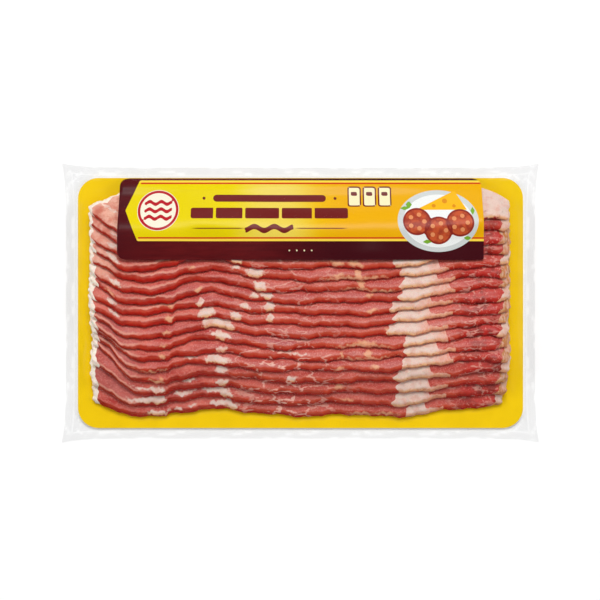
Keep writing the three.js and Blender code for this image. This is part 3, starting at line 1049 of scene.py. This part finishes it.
def film_places():
    """Plan position of the film's grid: a rectangle whose sides are drawn in between its corners."""
    a = np.linspace(-1, 1, CELLS[0])[None, :]
    b = np.linspace(1, -1, CELLS[1])[:, None]
    far_x = (POUCH_HALF[0] + FLARE[0]) * (1 - np.abs(a))
    far_y = (POUCH_HALF[1] + FLARE[0]) * (1 - np.abs(b))
    x = a * (POUCH_HALF[0] + FLARE[0] * np.exp(-far_y / FLARE[1]))
    y = b * (POUCH_HALF[1] + FLARE[0] * np.exp(-far_x / FLARE[1]))
    return x, y


def contents_height(x, y):
    """Height of the highest thing under each point: the seal, the card, the slices or the label."""
    dx = np.maximum(np.abs(x) - CARD_HALF[0] + CARD_CORNER, 0)
    dy = np.maximum(np.abs(y) - CARD_HALF[1] + CARD_CORNER, 0)
    top = np.where(np.hypot(dx, dy) < CARD_CORNER, CARD_TOP, FILM_TOP - CLING)
    stack = stack_height(x, y)
    top = np.where(stack > CARD_TOP, stack, top)
    past = 0.6
    on_label = (np.abs(x) < LABEL_HALF + past) & (y < LABEL_TOP + past) & (y > LABEL_LOW - past)
    on_y = np.clip(y, LABEL_LOW, LABEL_TOP)
    covered = label_bend(on_y) - label_dip(x, on_y) + LABEL_STOCK
    return np.where(on_label, np.maximum(top, covered), top)


def taut_height(floor, pull=0.115, rounds=240):
    """Each round takes the mean of the four neighbours less the pull, but no lower than the floor."""
    height = floor.copy()
    for _ in range(rounds):
        mean = height.copy()
        beside = height[1:-1, :-2] + height[1:-1, 2:]
        mean[1:-1, 1:-1] = 0.25 * (height[:-2, 1:-1] + height[2:, 1:-1] + beside)
        height = np.maximum(floor, mean - pull)
    return height


# %% [markdown]
# ## Clear film
# The film is a few hundredths of a millimetre of clear plastic. It takes very little light away and mirrors
# a little of the room, so the material is a smooth, mostly see-through mirror with fine stretch marks.

# %% The film's material
FILM_SHARE = 0.004
SEAL_SHARE = 0.055
FILM_SHINE = (238, 239, 240)
SEAL_SHINE = (80, 81, 82)


def film_material():
    """A mirror that covers only a small share of what is behind it, more along the sealed border."""
    material, tree, shader = node_material("clear_film", 0.28)
    seal = attribute(tree, "seal")
    tree.links.new(mixed(tree, seal, FILM_SHINE, SEAL_SHINE), shader.inputs["Base Color"])
    shader.inputs["Metallic"].default_value = 1.0
    share = math_node(tree, "MULTIPLY_ADD", seal, SEAL_SHARE - FILM_SHARE, FILM_SHARE)
    tree.links.new(share, shader.inputs["Alpha"])
    waves = noise(tree, object_place(tree), 5.5, 2, 0.5, 0.6)
    marks = noise(tree, object_place(tree, (0.25, 1, 1)), 1.8, 1)
    height = math_node(tree, "MULTIPLY_ADD", marks, 0.25, waves)
    bumped(tree, shader, height, 0.35, 0.25)
    return material


# %% [markdown]
# ## A closed pouch
# The pouch is one closed shell: an outer skin and, inside the seal, an inner one a wall's thickness away.
# The seal is where the two films are welded. It looks milky, broken by whiter streaks that are painted
# glints of creased film, kept as a number per point.

# %% Make the pouch
SEAL_CELLS = 4
FILM_WALL = 0.07


def make_pouch():
    """The outer skin, with ripples over the flat border, joined with the inner skin turned inwards."""
    x, y = film_places()
    floor = contents_height(x, y) + CLING
    edge = np.minimum(x - x[:, :1], x[:, -1:] - x)
    edge = np.minimum(edge, np.minimum(y[:1] - y, y - y[-1:]))
    near_card = np.maximum(0, np.minimum(1, (edge - 1.5) / 5))
    height = taut_height(floor)
    ripples = wander(11, x, (23, 0.05), (41, 0.06)) * wander(12, y, (17, 0.7), (29, 0.8))
    height += np.where(floor < FILM_TOP + 0.01, ripples * near_card + 0.05 * near_card, 0)
    height = np.clip(height, 0.25, cad_bounds[1][2] / MM - 0.02)
    outer_low = np.zeros_like(x)
    points, quads = closed_sheet(np.stack([x, y, height], -1), np.stack([x, y, outer_low], -1))
    core = (slice(SEAL_CELLS, -SEAL_CELLS), slice(SEAL_CELLS, -SEAL_CELLS))
    inner_top = np.stack([x[core], y[core], height[core] - FILM_WALL], -1)
    inner_low = np.stack([x[core], y[core], outer_low[core] + FILM_WALL], -1)
    inner_points, inner_quads = closed_sheet(inner_top, inner_low)
    points_all = np.concatenate([points, inner_points])
    quads_all = np.concatenate([quads, inner_quads[:, ::-1] + len(points)])
    piece = make_piece("film_pouch", points_all, quads_all, film_material(), "film", "pouch")
    past_x = np.abs(points_all[:, 0]) - CARD_HALF[0]
    past_y = np.abs(points_all[:, 1]) - CARD_HALF[1]
    off_card = -box(points_all[:, 0], points_all[:, 1], 0, 0, *CARD_HALF, CARD_CORNER)
    along = np.where(past_x > past_y, points_all[:, 1], points_all[:, 0])
    # Painted glints: wandering streaks along the border where the seal clears, so the film turns whiter
    # there
    streaks = wander(21, along + 5 * off_card, (37, 0.5), (13, 0.35), (7.3, 0.25))
    streaks += wander(22, off_card, (3.4, 0.5))
    twice = np.zeros_like(x)
    twice[core] = 1
    twice = np.concatenate([twice.ravel(), twice.ravel(), np.ones(len(inner_points))])
    # Less seal along the streaks: whiter painted glint lines across the milky border
    seal = smooth_step((off_card + 0.5) / 1.5) * (1 - 0.7 * smooth_step((streaks - 0.4) / 0.5))
    store(piece, "seal", seal * (1 - 0.5 * twice))


make_pouch()


# %% [markdown]
# ## Floor, light and camera
# The picture is a plain product shot on white: a camera straight above, a large soft light from beyond the
# label and gentle light from the sides. The floor is only a stage, and isn't part of the pack.

# %% White floor
def white_floor():
    """One wide square just under the pack, faintly bright itself so that it renders white."""
    mesh = bpy.data.meshes.new("floor")
    far = 3.0
    corners = [(-far, -far, 0), (far, -far, 0), (far, far, 0), (-far, far, 0)]
    mesh.from_pydata(corners, [], [(0, 1, 2, 3)])
    floor = bpy.data.objects.new("floor", mesh)
    floor.location.z = -0.0002
    bpy.context.collection.objects.link(floor)
    material, _, shader = node_material("white_floor", 0.9)
    shader.inputs["Base Color"].default_value = (0.92, 0.92, 0.92, 1)
    shader.inputs["Emission Color"].default_value = (1, 1, 1, 1)
    shader.inputs["Emission Strength"].default_value = 0.17
    shader.inputs["Specular IOR Level"].default_value = 0.1
    mesh.materials.append(material)


white_floor()


# %% Soft light
def soft_light(name, place, size, watts):
    """A round lamp that faces the pack from a place in metres."""
    light = bpy.data.lights.new(name, "AREA")
    light.shape = "DISK"
    light.size = size
    light.energy = watts
    lamp = bpy.data.objects.new(name, light)
    lamp.location = place
    lamp.rotation_euler = (-Vector(place)).to_track_quat("-Z", "Y").to_euler()
    bpy.context.collection.objects.link(lamp)


soft_light("key", (0.15, 2.1, 2.4), 1.6, 70.5)
soft_light("left_fill", (-1.4, 0.25, 0.9), 0.9, 8.5)
soft_light("right_fill", (1.4, 0.1, 0.9), 0.9, 8.5)
soft_light("foot_fill", (0.0, -1.2, 1.0), 0.9, 3.2)
world = bpy.data.worlds.new("room")
bpy.context.scene.world = world
world.use_nodes = True
background = world.node_tree.nodes["Background"]
background.inputs["Color"].default_value = (1, 1, 1, 1)
background.inputs["Strength"].default_value = 0.09
display = bpy.context.scene.view_settings
display.view_transform = "Standard"
display.look = "None"
display.exposure = 0.0


# %% Camera straight above
CAMERA_HEIGHT = 0.846
VIEW_WIDTH = 0.3336
VIEW_MIDDLE = (-0.00028, 0.00167)
CARD_LEVEL = 0.001
SENSOR_WIDTH = 36
camera_data = bpy.data.cameras.new("camera")
camera_data.sensor_width = SENSOR_WIDTH
camera_data.lens = SENSOR_WIDTH * (CAMERA_HEIGHT - CARD_LEVEL) / VIEW_WIDTH
camera = bpy.data.objects.new("camera", camera_data)
camera.location = (*VIEW_MIDDLE, CAMERA_HEIGHT)
bpy.context.collection.objects.link(camera)
bpy.context.scene.camera = camera
print("lens", round(camera_data.lens, 1), "mm")
